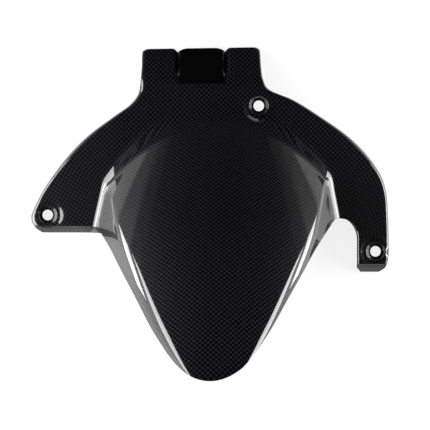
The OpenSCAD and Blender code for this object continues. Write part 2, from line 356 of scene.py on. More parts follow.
@dataclass
class Grid:
    """How finely the moulded surface is laid out between the stations of its rows."""

    rows: tuple[float, ...] = (
        146, 144.4, 141.6, 137.5, 133, 129, 125, 121, 117.5, 114, 111, 107, 103, 99, 95, 91, 87, 83,
        78.5, 74, 69, 64, 59, 54, 49, 44, 39, 34, 29, 24, 19.5, 15, 10.5, 6, 1.5, -2.6, -4, -6.2,
        -9.8, -11.6, -13.5, -15.4, -20, -26, -32, -38, -42.6, -45, -47.6, -50, -57, -64, -71, -78,
        -85, -91, -96, -100, -104, -107.5, -110.5, -113)
    per_row: int = 3
    half: tuple[int, ...] = (4, 4, 4, 8, 8, 8, 5, 5, 5, 5, 6, 4, 4, 4, 4)
    middle: int = 8
    middle_cells: int = 10
    last: int = 40
    left_wall: int = 10
    right_wall: int = 30
    leg: int = 33

    def splits(self) -> list[int]:
        """Parts that each interval between two stations is split into."""
        return [*self.half, *[self.middle] * self.middle_cells, *reversed(self.half)]

    def station(self) -> Array:
        """Place of each fine column, counted in stations."""
        parts = [j + np.arange(n) / n for j, n in enumerate(self.splits())]
        return np.append(np.concatenate(parts), self.last)

    def fine_rows(self) -> Array:
        """Place of each fine row, from the edge of the tab to the tip."""
        y = np.array(self.rows, float)
        steps = np.arange(self.per_row) / self.per_row
        return np.append((y[:-1, None] + (y[1:] - y[:-1])[:, None] * steps).ravel(), y[-1])


@dataclass
class Layout:
    """How the stations of a row stand to the lines that they follow.

    Distances are millimetres, measured outwards. A name with share is a part of a width, one
    with rows holds the rows between which one rule goes over to the next, roll counts widths of
    the rolled lip, and wing_inner is a station.
    """

    roll: tuple[float, float, float] = (0.4, 0.8, 1.5)
    foot: tuple[float, float, float] = (6.0, 3.0, -3.0)
    leg_in: float = 2.4
    leg_start: float = 12.0
    inner_share: float = 0.75
    shoulder_in: float = 10.0
    shoulder_cut: float = 1.2
    soft_share: float = 0.62
    wall_share: float = 0.6
    upper_rows: Pair = (50.0, 100.0)
    wing_inner: float = 5.5


@dataclass
class Cloth:
    """How the woven cloth is laid over the form, and where painted shade darkens it."""

    wing_pivot: Pair = (118.0, 45.0)
    left_turn: float = 13.0
    right_turn: float = 11.0
    right_turn_leg: float = 24.0
    turn_from: Pair = (92.0, 112.0)
    wing_rows: Pair = (62.0, 25.0)
    leg_turn_rows: Pair = (20.0, -45.0)
    seam: float = 5.0
    run_end: float = -130.0
    run_steps: int = 200
    plain_lobe: Pair = (-32.7, 8.8)
    # Painted shade: the weave is darker towards the tab, on the wings and on the leg, for the tows'
    # weaker sheen under the side lights.
    sheen_shade_back: float = 0.6
    back_rows: Pair = (-70.0, 10.0)
    sheen_shade_wing: float = 0.54
    wing_from: Pair = (85.0, 105.0)
    sheen_shade_leg: float = 0.22
    leg_from: Pair = (88.0, 116.0)
    leg_rows: Pair = (68.0, 0.0)

    def show(self, x: Array, y: Array) -> Array:
        """Painted shade on the weave at each point, between 0 and 1: lower values darken the tows
        towards plain black, for their weaker sheen there.
        """
        tongue = mix(1.0, self.sheen_shade_back, ease(*self.back_rows, y))
        on_wing = ease(*self.wing_from, np.abs(x)) * ease(*self.wing_rows, y)
        wing = mix(tongue, self.sheen_shade_wing, on_wing)
        return mix(wing, self.sheen_shade_leg, ease(*self.leg_from, x) * ease(*self.leg_rows, y))


@dataclass
class FenderShell:
    """The moulded shell: its form, its fine surface and its cloth."""

    thickness: float = 1.8
    fold_soft: float = 9.0
    wing_end: float = -15.4
    wing_lip: float = -9.8
    leg_end: float = -50.0
    leg_lip: float = -42.6
    arch: Arch = field(default_factory=Arch)
    flange: Flange = field(default_factory=Flange)
    tab: Tab = field(default_factory=Tab)
    seats: BoltSeats = field(default_factory=BoltSeats)
    gap: Gap = field(default_factory=Gap)
    tip: Tip = field(default_factory=Tip)
    grid: Grid = field(default_factory=Grid)
    layout: Layout = field(default_factory=Layout)
    cloth: Cloth = field(default_factory=Cloth)
    hole_grow: float = 2.4

    def open_height(self, x: Array, y: Array) -> Array:
        """Height of flange and tongue, folded into each other."""
        return soft_max(self.flange.height(x, y), self.arch.tongue(x, y), self.fold_soft)

    def seat_height(self, i: int) -> float:
        """Height of the level pad round a seat."""
        x, y = self.seats.places[i]
        return float(self.open_height(np.float64(x), np.float64(y))) - self.seats.sink[i]

    def top(self, x: Array, y: Array) -> Array:
        """Height of the shell with its level pads."""
        z = self.open_height(x, y)
        for i, (sx, sy) in enumerate(self.seats.places):
            away = np.hypot(x - sx, y - sy)
            z = mix(self.seat_height(i), z, ease(self.seats.pad_r, self.seats.pad_blend_r, away))
        return z

    def skin(self, x: Array, y: Array) -> Array:
        """Height of the whole outer surface, before its edges are rolled."""
        t = self.tab
        plane = (t.crease_z - t.fall(self.flange.floor_drop) * (y - t.crease_y)
                 - t.grooves(x) * t.depth(y))
        z = self.top(x, y)
        return np.where(y < t.crease_y - t.crease_reach, z, soft_min(z, plane, t.crease_soft))

    def outline(self, y: float, side: Side) -> float:
        """Outer outline of a side."""
        if side is Side.LEFT:
            return float(curve(self.flange.left_edge, max(y, self.wing_end)))
        return float(curve(self.flange.right_edge, max(y, self.leg_end)))

    def slant(self, y: float, side: Side) -> float:
        """Stretch of a width that is measured square to the outline."""
        return math.hypot(1.0, (self.outline(y + 1, side) - self.outline(y - 1, side)) / 2)

    def foot(self, y: float, side: Side) -> float:
        """Where the arch or its wall meets the flange plane, measured outwards."""
        a = self.arch
        s = float(a.shoulder(y, side))
        d = max(float(a.crown(y)), 0.0) / float(a.lean(y))
        return min(side.value * s + max(float(a.height(s, y)), 0.0) / a.wall_fall,
                   side.value * a.crown_x + math.sqrt(max(2 * a.radius * d - d * d, 0.0)))

    def half_row(self, y: float, side: Side) -> list[float]:
        """Sixteen stations from the outer edge to the shoulder, measured outwards."""
        a, g, lay = self.arch, self.gap, self.layout
        gap_x, gap_y = g.apex
        out_foot, near_foot, in_foot = lay.foot
        out = side.value * self.outline(y, side)
        r = self.flange.roll * self.slant(y, side)
        f = self.foot(y, side)
        cut = side.value * float(a.edge(y, side))
        last = self.wing_end if side is Side.LEFT else gap_y
        near = float(ease(0 if side is Side.LEFT else lay.leg_start, last, np.float64(y)))
        q = 0.0 if side is Side.LEFT else near
        w10 = mix(f + in_foot, cut, near) if y > last else cut
        w7 = g.leg_inner(y, self.leg_end) if q > 0 and y <= gap_y else mix(f + out_foot, gap_x, q)
        w8 = mix(f + near_foot, mix(w10, gap_x, 2 / 3), q)
        w9 = mix(f, mix(w10, gap_x, 1 / 3), q)
        w1, w2, w3 = (out - share * r for share in lay.roll)
        w6 = mix(mix(w3, w7, lay.inner_share), w7 + lay.leg_in, q)
        s = min(side.value * float(a.shoulder(y, side)),
                f - lay.shoulder_in if y > last else w10 - lay.shoulder_cut)
        b = lay.soft_share * float(a.shoulder_soft(y))
        c = min(b, lay.wall_share * (w10 - s))
        return [out, w1, w2, w3, mix(w3, w6, 1 / 3), mix(w3, w6, 2 / 3), w6,
                w7, w8, w9, w10, (w10 + s + c) / 2, s + c, s + c / 3, s - b / 3, s - b]

    def tab_row(self, a: float, b: float) -> Array:
        """Stations across the tab, with one on every edge of the grooves."""
        t = self.tab
        g0, g1 = t.grooves_x
        marks = [(a, 10), (g0 - t.groove_out, 3), (g0, 1), (g0 + t.groove_in, 13),
                 (g1 - t.groove_in, 1), (g1, 3), (g1 + t.groove_out, 9), (b, 0)]
        row: list[float] = []
        for (x, n), (after, _) in zip(marks, marks[1:]):
            row += [mix(x, after, j / n) for j in range(n)]
        return np.array([*row, b])

    def row_x(self, y: float) -> Array:
        """Stations of the row at y."""
        t = float(ease(*self.layout.upper_rows, np.float64(y)))
        ends = self.outline(y, Side.LEFT), self.outline(y, Side.RIGHT)
        crease = self.tab.crease_y
        if y > crease:
            upper = self.tab_row(*ends)
        else:
            c = self.tab_row(self.outline(crease, Side.LEFT), self.outline(crease, Side.RIGHT))
            upper = mix(ends[0], ends[1], (c - c[0]) / (c[-1] - c[0]))
        if t >= 1:
            return upper
        left, right = self.half_row(y, Side.LEFT), self.half_row(y, Side.RIGHT)
        n = self.grid.middle_cells
        arch = [mix(-left[-1], right[-1], j / n) for j in range(1, n)]
        stations = np.array([-v for v in left] + arch + right[::-1])
        return mix(stations, upper, t)

    def surface(self) -> Array:
        """Lay out the outer surface, as rows by columns by xyz."""
        rows, station = self.grid.fine_rows(), self.grid.station()
        x = np.array([np.interp(station, np.arange(self.grid.last + 1), self.row_x(y))
                      for y in rows])
        row = np.repeat(rows[:, None], len(station), axis=1)
        t = np.maximum(0.0, (self.tip.start - row) / (self.tip.start - self.tip.side))
        half = self.arch.edge(row, Side.RIGHT) - self.arch.middle(row)
        s = np.where(t > 0, (x - self.arch.middle(row)) / half, 0.0)
        y = (row + self.tab.edge(x, row, self.flange.left_edge[0][1])
             - t * self.tip.bulge * (1 - s * s))
        z = self.skin(x, y) - self.tip.roll * t**4 * (1 - self.tip.side_share * s * s)
        turned = np.clip(self.grid.leg + 1 - station, 0, 1)[None, :] ** 2
        on_leg = (station >= self.grid.leg)[None, :] & (row < self.gap.apex[1])
        start = self.gap.apex[1]
        drop = self.flange.lip_leg * ease(start, start - self.gap.lip_len, row)
        z = np.where(on_leg, z - drop * turned, z)
        return np.stack([x, y, self.roll_edges(x, row, z, station)], axis=-1)

    def roll_edges(self, x: Array, row: Array, z: Array, station: Array) -> Array:
        """Turn the outer edges, the wing's end and the leg's end down.

        Args:
            x: Places across the rows.
            row: Rows of the points.
            z: Heights before the edges are rolled.
            station: Station of each column.

        Returns:
            The heights with the lips.
        """
        f, middle = self.flange, self.grid.last // 2
        share = np.zeros_like(x)
        for side, edge in ((Side.LEFT, x[:, :1]), (Side.RIGHT, x[:, -1:])):
            slant = np.array([self.slant(y, side) for y in row[:, 0]])[:, None]
            wide = f.roll_reach * f.roll * slant
            away = np.abs(x - edge)
            open_share = np.clip(1 - away / wide, 0, 1) ** f.roll_power
            tab_share = np.clip(1 - away / f.tab_reach, 0, 1) ** f.tab_power
            near = mix(open_share, tab_share, ease(*self.layout.upper_rows, row))
            mine = station <= middle if side is Side.LEFT else station > middle
            share = np.where(mine[None, :], near, share)
        leg = (station >= self.grid.leg)[None, :] & (row < self.leg_lip)
        wing = ((station <= self.grid.left_wall)[None, :] & (row < self.wing_lip)
                & (row >= self.wing_end))
        end = np.where(leg, (self.leg_lip - row) / (self.leg_lip - self.leg_end), 0.0)
        inner = ease(self.grid.left_wall, self.layout.wing_inner,
                     np.broadcast_to(station, x.shape))
        end = np.where(wing, (self.wing_lip - row) / (self.wing_lip - self.wing_end) * inner, end)
        end = np.clip(end, 0, 1) ** f.end_power
        share = np.maximum(np.where(row < self.leg_end, 0.0, share), end)
        low = mix(z - mix(f.lip_top, f.lip_tab, ease(*f.lip_rows, row)), -f.floor_drop,
                  ease(*f.floor_rows, row))
        return mix(z, low, share)

    def kept_cells(self) -> Array:
        """Mask of the cells of the fine grid that belong to the part."""
        g = self.grid
        rows, last = np.array(g.rows, float), g.last
        used = np.zeros((len(rows), last + 1), bool)
        j = np.arange(last + 1)
        for i, y in enumerate(rows):
            if y >= self.gap.apex[1]:
                used[i] = True
            elif y >= self.wing_end:
                used[i] = (j <= g.right_wall) | (j >= g.leg)
            else:
                used[i] = (j >= g.left_wall) & (j <= g.right_wall)
                used[i] |= (j >= g.leg) & (y >= self.leg_end)
        cells = used[:-1, :-1] & used[:-1, 1:] & used[1:, :-1] & used[1:, 1:]
        return np.repeat(np.repeat(cells, g.per_row, axis=0), g.splits(), axis=1)

    def weave_place(self, p: Array) -> Array:
        """Lay the cloth: its own two directions at each point, in millimetres.

        Args:
            p: Points of the outer surface.

        Returns:
            Place across and along the cloth.
        """
        a, c = self.arch, self.cloth
        x, y, z = p[..., 0], p[..., 1], p[..., 2]
        lean = a.lean(y)
        dx, dz = np.diff(x, axis=1), np.diff(z, axis=1) / lean[:, 1:]
        steps_x = np.cumsum(np.hypot(dx, dz), axis=1)
        across = np.concatenate([np.zeros((len(x), 1)), steps_x], axis=1)
        mid = np.array([np.interp(a.crown_x, xs, us) for xs, us in zip(x, across)])
        u_arch = across - mid[:, None] + a.crown_x
        steps = np.linspace(a.foot_y, c.run_end, c.run_steps)
        run = np.concatenate([[0], np.cumsum(np.hypot(1, a.slope(steps[1:])) * -np.diff(steps))])
        along = np.where(y > a.foot_y, -(y - a.foot_y), np.interp(-y, -steps, run))
        v_arch = along - a.slope(y) * (a.crown(y) - z) / lean
        px, py = c.wing_pivot
        by_leg = ease(*c.leg_turn_rows, y)
        rows = ease(*c.wing_rows, y)
        left = np.radians(c.left_turn) * rows * ease(*c.turn_from, -x)
        right = (np.radians(mix(c.right_turn, c.right_turn_leg, by_leg))
                 * rows * ease(*c.turn_from, x))
        turn = left - right
        qx = np.where(x < 0, x + px, x - px)
        u_flat = qx * np.cos(turn) + (y - py) * np.sin(turn) + (x - qx)
        v_flat = a.foot_y - py - (y - py) * np.cos(turn) + qx * np.sin(turn)
        on_arch = ease(-c.seam, c.seam, a.tongue(x, y) - self.flange.height(x, y))
        return np.stack([mix(u_flat, u_arch, on_arch), mix(v_flat, v_arch, on_arch)], axis=-1)


@dataclass
class Patch:
    """Points and faces gathered for one mesh, with the cloth's place at each point."""

    points: list[Array] = field(default_factory=list)
    cloth: list[Array] = field(default_factory=list)
    faces: list[tuple[int, ...]] = field(default_factory=list)
    count: int = 0

    def add(self, points: Array, cloth: Array) -> int:
        """Add points and return the number of the first."""
        first = self.count
        self.points.append(points)
        self.cloth.append(cloth)
        self.count += len(points)
        return first


def fill_ring(outer: Array, inner: Array, merge: float = 1e-7) -> list[tuple[int, int, int]]:
    """Fill the flat ring between two closed loops.

    Args:
        outer: Points of the outer loop in the plane.
        inner: Points of the inner loop in the plane.
        merge: Distance under which two points count as one.

    Returns:
        Triangles that count the outer loop first and the inner one after it.
    """
    both = np.vstack([outer, inner])
    n, m = len(outer), len(inner)
    edges = ([(i, (i + 1) % n) for i in range(n)] + [(n + i, n + (i + 1) % m) for i in range(m)])
    made = geometry.delaunay_2d_cdt([tuple(p) for p in both], edges, [], 0, merge)
    back = {k: (src[0] if src else None) for k, src in enumerate(made[3])}
    middle, reach = inner.mean(axis=0), np.hypot(*(inner - inner.mean(axis=0)).T).mean()
    faces = []
    for face in made[2]:
        f = [back[k] for k in face]
        centre = both[f].mean(axis=0)
        if np.hypot(*(centre - middle)) > reach and inside(centre, outer):
            faces.append(tuple(f))
    return faces


def inside(p: Array, loop: Array) -> bool:
    """Tell whether a point of the plane lies inside a closed loop."""
    a, b = loop, np.roll(loop, -1, axis=0)
    cross = (a[:, 1] > p[1]) != (b[:, 1] > p[1])
    run = np.where(cross, b[:, 1] - a[:, 1], 1.0)
    at = a[:, 0] + (p[1] - a[:, 1]) * (b[:, 0] - a[:, 0]) / run
    return bool(np.count_nonzero(cross & (at > p[0])) % 2)


def boundary_loops(faces: Array) -> list[list[int]]:
    """Find the closed loops of edges that only one face uses, in the faces' own direction."""
    edges = np.concatenate([np.stack([faces[:, k], faces[:, (k + 1) % 4]], axis=1)
                            for k in range(4)])
    seen = {(int(a), int(b)) for a, b in edges}
    after = {a: b for a, b in seen if (b, a) not in seen}
    loops = []
    while after:
        start, b = after.popitem()
        loop = [start]
        while b != start:
            loop.append(b)
            b = after.pop(b)
        loops.append(loop)
    return loops


@dataclass
class ShellMesh:
    """Makes the closed mesh of the shell from its form."""

    form: FenderShell
    seat_cloth: dict[int, Array] = field(default_factory=dict)
    rim_bulge: float = 0.25
    rim_steps: tuple[float, ...] = (0.18, 0.5, 0.82)
    seat_loop: float = 60.0
    seat_off: float = 5.0

    def normals(self, points: Array, faces: Array) -> Array:
        """Outward normals of the points, from the faces round them."""
        p = points[faces]
        n = np.cross(p[:, 2] - p[:, 0], p[:, 3] - p[:, 1])
        total = np.zeros_like(points)
        for k in range(4):
            np.add.at(total, faces[:, k], n)
        return total / np.maximum(np.linalg.norm(total, axis=1), TINY)[:, None]

    def build(self) -> Patch:
        """Build both surfaces, the rim between them and the rings round the seats.

        Returns:
            The gathered mesh in design millimetres, with open rings at the seats.
        """
        form, seats = self.form, self.form.seats
        grid = form.surface()
        n_rows, n_cols = grid.shape[:2]
        at = np.arange(n_rows * n_cols).reshape(n_rows, n_cols)
        keep = form.kept_cells()
        quads = np.stack([at[:-1, :-1], at[1:, :-1], at[1:, 1:], at[:-1, 1:]], axis=-1)[keep]
        points = grid.reshape(-1, 3)
        cloth = form.weave_place(grid).reshape(-1, 2)
        normal = self.normals(points, quads)
        centre = points[quads].mean(axis=1)
        away = np.min([np.hypot(centre[:, 0] - x, centre[:, 1] - y) for x, y in seats.places],
                      axis=0)
        quads = quads[away > seats.rim_r + form.hole_grow]
        used = np.unique(quads)
        renumber = np.full(len(points), -1)
        renumber[used] = np.arange(len(used))
        quads, points, cloth, normal = renumber[quads], points[used], cloth[used], normal[used]
        below = points - form.thickness * normal

        patch = Patch()
        patch.add(points, cloth)
        n = patch.add(below, cloth)
        patch.faces += [tuple(q) for q in quads] + [tuple(q[::-1] + n) for q in quads]
        for loop in boundary_loops(quads):
            seat = self.seat_inside(points[loop])
            if seat is None:
                self.close_rim(patch, points, below, normal, cloth, loop, n)
            else:
                self.ring_seat(patch, seat, loop, n)
        return patch

    def seat_inside(self, loop: Array) -> int | None:
        """Number of the seat that a loop runs round, or None for the outer edge."""
        middle = loop[:, :2].mean(axis=0)
        size = np.ptp(loop[:, :2], axis=0).max()
        for i, place in enumerate(self.form.seats.places):
            if size < self.seat_loop and np.hypot(*(middle - place)) < self.seat_off:
                return i
        return None

    def close_rim(self, patch: Patch, points: Array, below: Array, normal: Array, cloth: Array,
                  loop: list[int], n: int) -> None:
        """Join the two surfaces along an edge with a rounded rim.

        Args:
            patch: The mesh that the rim is added to.
            points: Points of the outer surface.
            below: Points of the inner surface.
            normal: Outward normals.
            cloth: The cloth's place at each point.
            loop: Numbers of the points along the edge.
            n: Number of the first inner point.
        """
        idx = np.array(loop)
        run = points[np.roll(idx, -1)] - points[np.roll(idx, 1)]
        out = np.cross(run, normal[idx])
        out /= np.maximum(np.linalg.norm(out, axis=1), TINY)[:, None]
        chain = [idx]
        for t in self.rim_steps:
            swell = self.rim_bulge * math.sqrt(1 - (2 * t - 1) ** 2)
            p = mix(points[idx], below[idx], t) + out * swell
            first = patch.add(p, cloth[idx])
            chain.append(np.arange(first, first + len(idx)))
        chain.append(idx + n)
        for a, b in zip(chain, chain[1:]):
            c, d = np.roll(b, -1), np.roll(a, -1)
            patch.faces += [tuple(q) for q in np.stack([d, a, b, c], axis=1)]

    def ring_seat(self, patch: Patch, i: int, loop: list[int], n: int) -> None:
        """Fill the ring between the cut surface and the round rim of a seat, above and below.

        Args:
            patch: The mesh that the rings are added to.
            i: Number of the seat.
            loop: Numbers of the points round the cut.
            n: Number of the first inner point.
        """
        seats = self.form.seats
        place, z = np.array(seats.places[i]), self.form.seat_height(i)
        circle = place + seats.rim_r * seats.circle()
        all_points, all_cloth = np.vstack(patch.points), np.vstack(patch.cloth)
        top = np.array(loop)
        spread, *_ = np.linalg.lstsq(np.column_stack([all_points[top, :2], np.ones(len(top))]),
                                     all_cloth[top], rcond=None)
        self.seat_cloth[i] = spread
        cloth = np.column_stack([circle, np.ones(len(circle))]) @ spread
        for rim, level, flip in ((top, z, False), (top + n, z - self.form.thickness, True)):
            first = patch.add(np.column_stack([circle, np.full(len(circle), level)]), cloth)
            for f in fill_ring(all_points[rim, :2], circle):
                a, b, c = [int(rim[k]) if k < len(rim) else first + k - len(rim) for k in f]
                patch.faces.append((c, b, a) if flip else (a, b, c))


class Nodes:
    """Adds nodes to one node tree."""

    def __init__(self, tree: bpy.types.NodeTree) -> None:
        """Work on a tree."""
        self.tree = tree

    def add(self, kind: str, settings: dict[str, Any] | None = None,
            **values: Any) -> bpy.types.Node:
        """Add a node.

        Args:
            kind: Type of the node.
            settings: Settings of the node, set before its sockets.
            values: Values or links of its sockets, by name with _ for a space, or n0, n1, ... by
                number.

        Returns:
            The node.
        """
        node = self.tree.nodes.new(kind)
        for name, value in (settings or {}).items():
            setattr(node, name, value)
        for name, value in values.items():
            by_number = name[0] == "n" and name[1:].isdigit()
            socket = node.inputs[int(name[1:]) if by_number else name.replace("_", " ")]
            if isinstance(value, Wire):
                value = value.socket
            if isinstance(value, bpy.types.NodeSocket):
                self.tree.links.new(value, socket)
            else:
                socket.default_value = value
        return node

    def background_ray(self) -> "Wire":
        """1 for the rays that show the background: seen, mirrored or passed through."""
        path = self.add("ShaderNodeLightPath")
        camera, glossy, passed = (Wire(self, path.outputs[f"Is {name} Ray"])
                                  for name in ("Camera", "Glossy", "Transmission"))
        return camera.at_least(glossy).at_least(passed)

    def wire(self, kind: str, out: int | str = 0, settings: dict[str, Any] | None = None,
             **values: Any) -> "Wire":
        """Add a node and return one of its outputs."""
        return Wire(self, self.add(kind, settings, **values).outputs[out])

    def parts(self, vector: "Wire") -> list["Wire"]:
        """Split a vector into its three numbers."""
        split = self.add("ShaderNodeSeparateXYZ", Vector=vector)
        return [Wire(self, part) for part in split.outputs]


def fresh_nodes(owner: bpy.types.Material | bpy.types.World) -> Nodes:
    """Switch on the nodes of a material or a world, and start with none."""
    owner.use_nodes = True
    owner.node_tree.nodes.clear()
    return Nodes(owner.node_tree)


def operator(operation: str, reflected: bool = False) -> Callable[["Wire", Any], "Wire"]:
    """Make an operator of a wire, which adds a Math node.

    Args:
        operation: The Math node's operation.
        reflected: Whether the wire is the second of the two operands.

    Returns:
        The method.
    """
    def method(wire: "Wire", other: Any) -> "Wire":
        """Work the operation out in the node tree."""
        return wire.math(operation, *((other, wire) if reflected else (wire, other)))
    return method


class Wire:
    """A socket of a node tree that can be used in sums."""

    def __init__(self, nodes: Nodes, socket: bpy.types.NodeSocket) -> None:
        """Wrap a socket."""
        self.nodes, self.socket = nodes, socket

    def math(self, operation: str, a: Any, b: Any = 0.0) -> "Wire":
        """Add a Math node."""
        return self.nodes.wire("ShaderNodeMath", 0, {"operation": operation}, n0=a, n1=b)

    __add__ = operator("ADD")
    __radd__ = operator("ADD", reflected=True)
    __sub__ = operator("SUBTRACT")
    __rsub__ = operator("SUBTRACT", reflected=True)
    __mul__ = operator("MULTIPLY")
    __rmul__ = operator("MULTIPLY", reflected=True)
    __truediv__ = operator("DIVIDE")
    __pow__ = operator("POWER")

    def floor(self) -> "Wire":
        """Whole part."""
        return self.math("FLOOR", self)

    def fract(self) -> "Wire":
        """Part after the whole part."""
        return self.math("FRACT", self)

    def odd(self) -> "Wire":
        """1 where the number is odd, 0 where it is even."""
        return self.math("FLOORED_MODULO", self, 2.0)

    def at_least(self, other: Any) -> "Wire":
        """The higher of two numbers."""
        return self.math("MAXIMUM", self, other)

    def between(self, low: float, high: float) -> "Wire":
        """0 below low, 1 above high, eased between."""
        return self.nodes.wire("ShaderNodeMapRange", 0, {"interpolation_type": "SMOOTHSTEP"},
                               Value=self, From_Min=low, From_Max=high, To_Min=0.0, To_Max=1.0)

    def blend(self, a: Any, b: Any) -> "Wire":
        """Blend the numbers a and b by this one."""
        return self.nodes.wire("ShaderNodeMix", 0, {"data_type": "FLOAT"}, n0=self, n2=a, n3=b)

    def blend_colour(self, a: Any, b: Any) -> "Wire":
        """Blend the colours a and b by this number."""
        return self.nodes.wire("ShaderNodeMix", 2, {"data_type": "RGBA"}, n0=self, n6=a, n7=b)


@dataclass(frozen=True)
class WovenCarbon:
    """Plain-woven carbon fibre under a clear gloss coat. Lengths on the cloth are millimetres."""

    pitch: float = 2.1
    wander: float = 0.9
    wander_scale: float = 0.045
    # The weave is real; the weft's far lighter colour than the warp's is painted sheen from the
    # side lights.
    warp_in_shade: tuple[float, ...] = (0.0012, 0.0012, 0.0014, 1.0)
    weft_in_sheen: tuple[float, ...] = (0.0216, 0.0217, 0.025, 1.0)
    resin: tuple[float, ...] = (0.001, 0.001, 0.0012, 1.0)
    plain: tuple[float, ...] = (0.001, 0.001, 0.0011, 1.0)
    specular: float = 0.04
    tow_rough: Pair = (0.42, 0.34)
    fibre_rough: float = 0.12
    tow_height: float = 0.00012
    tow_strength: float = 0.35
    tow_waist: float = 0.4
    resin_edge: Pair = (0.15, 0.6)
    fibres: float = 9.0
    fibre_stretch: float = 0.6
    fibre_edge: Pair = (0.35, 0.75)
    fibre_share: float = 0.4
    fibre_height: float = 0.12
    lobe_edge: float = 0.3
    crease_edge: float = 0.4
    coat: float = 1.0
    thin_coat: float = 0.16
    thin_from: Pair = (-0.5, -0.8)
    coat_rough: float = 0.03
    coat_ior: float = 1.5

    def material(self, plain_lobe: Pair, crease: float) -> bpy.types.Material:
        """Make the material.

        Args:
            plain_lobe: The tab's plain middle lobe, from and to across the cloth.
            crease: Place of the crease along the cloth.

        Returns:
            The material, which reads the piece's own cloth map in millimetres and its map of
            painted shade on the weave and of the coat's gloss.
        """
        material = bpy.data.materials.new("woven_carbon")
        nodes = fresh_nodes(material)
        across, along, _ = nodes.parts(nodes.wire("ShaderNodeUVMap", 0, {"uv_map": "cloth"}))
        wobble = nodes.wire("ShaderNodeTexNoise", 0, Vector=nodes.wire(
            "ShaderNodeCombineXYZ", 0, X=across, Y=along), Scale=self.wander_scale, Detail=1.0)
        a = (across + (wobble - 0.5) * self.wander) / self.pitch
        b = (along + (0.5 - wobble) * self.wander) / self.pitch
        over = (a.floor() + b.floor()).odd()
        fa, fb = a.fract(), b.fract()
        crown_a, crown_b = fa * (1.0 - fa) * 4.0, fb * (1.0 - fb) * 4.0
        waist = self.tow_waist
        warp_top = crown_a ** 0.5 * ((1 - waist) + waist * crown_b)
        weft_top = crown_b ** 0.5 * ((1 - waist) + waist * crown_a)
        height = over.blend(warp_top, weft_top)
        slow, fast = self.fibre_stretch, self.fibres
        fibre_at = nodes.wire("ShaderNodeCombineXYZ", 0, X=over.blend(a * fast, a * slow),
                              Y=over.blend(b * slow, b * fast))
        fibre = nodes.wire("ShaderNodeTexNoise", 0, Vector=fibre_at, Scale=1.0, Detail=2.0)
        # Painted sheen: the weft tows get a lighter colour than the warp tows.
        lit = over.blend_colour(self.warp_in_shade, self.weft_in_sheen)
        deep = height.between(*self.resin_edge).blend_colour(self.resin, lit)
        base = (fibre.between(*self.fibre_edge) * self.fibre_share).blend_colour(deep, self.resin)
        lobe = (self.step(across, plain_lobe[0], self.lobe_edge)
                * (1.0 - self.step(across, plain_lobe[1], self.lobe_edge))
                * (1.0 - self.step(along, crease, self.crease_edge)))
        # The map holds painted shade on the weave's sheen, then the coat's gloss.
        sheen_shade, gloss, _ = nodes.parts(nodes.wire("ShaderNodeUVMap", 0, {"uv_map": "sheen_and_gloss"}))
        colour = (sheen_shade * (1.0 - lobe)).blend_colour(self.plain, base)
        rough = over.blend(*self.tow_rough) + (fibre - 0.5) * self.fibre_rough
        relief = (height + fibre * self.fibre_height) * (1.0 - lobe)
        bump = nodes.wire("ShaderNodeBump", 0, Strength=self.tow_strength,
                          Distance=self.tow_height, Height=relief)
        shader = nodes.add("ShaderNodeBsdfPrincipled", None, Base_Color=colour, Roughness=rough,
                           Specular_IOR_Level=self.specular, Coat_Weight=gloss * self.coat,
                           Coat_Roughness=self.coat_rough, Coat_IOR=self.coat_ior, Normal=bump)
        nodes.add("ShaderNodeOutputMaterial", None, Surface=shader.outputs[0])
        return material

    @staticmethod
    def step(place: Wire, at: float, edge: float) -> Wire:
        """0 before a place and 1 after it, eased over an edge on both sides."""
        return place.between(at - edge, at + edge)


@dataclass(frozen=True)
class PaleFloor:
    """A floor that is pale round the part and darkens behind its tab.

    The black gloss would mirror a pale floor there. The floor keeps the part's shadow.
    """

    colour: tuple[float, ...] = (0.2, 0.2, 0.2, 1.0)
    far_colour: tuple[float, ...] = (0.16, 0.16, 0.16, 1.0)
    lift: float = 0.82
    dusk: float = 0.08
    fade: Pair = (0.19, 0.4)
    flank: Pair = (0.188, 0.26)
    flank_back: float = 0.27

    def material(self) -> bpy.types.Material:
        """Make the material, whose fade starts sooner on the flanks."""
        material = bpy.data.materials.new("pale_floor")
        nodes = fresh_nodes(material)
        seen = nodes.background_ray()
        x, y, _ = nodes.parts(nodes.wire("ShaderNodeTexCoord", "Object"))
        aside = ((x * x) ** 0.5).between(*self.flank)
        near = 1.0 - (aside * self.flank_back + y).between(*self.fade)
        matt = nodes.add("ShaderNodeBsdfDiffuse", None,
                         Color=near.blend_colour(self.far_colour, self.colour))
        glow = nodes.add("ShaderNodeEmission", None, Color=WHITE,
                         Strength=near.blend(self.dusk, self.lift) * seen)
        both = nodes.add("ShaderNodeAddShader", None, n0=matt.outputs[0], n1=glow.outputs[0])
        nodes.add("ShaderNodeOutputMaterial", None, Surface=both.outputs[0])
        return material


@dataclass
class Placement:
    """Brings design millimetres into the frame, by the bores that both of them name."""

    form: FenderShell
    mounts: list[dict[str, Any]]

    def origin(self) -> Array:
        """Design place of the frame's origin, in millimetres."""
        seats = self.form.seats
        place = {m["name"]: np.array(m["pos_m"]) / MM for m in self.mounts}
        floor = seats.depth + self.form.thickness / 2
        offsets = [np.array([x, y, self.form.seat_height(i) - floor]) - place[seats.mounts[i]]
                   for i, (x, y) in enumerate(seats.places)]
        return np.mean(offsets, axis=0)

    def to_frame(self, points: Array) -> Array:
        """Move design points into the frame, in metres."""
        return (points - self.origin()) * MM


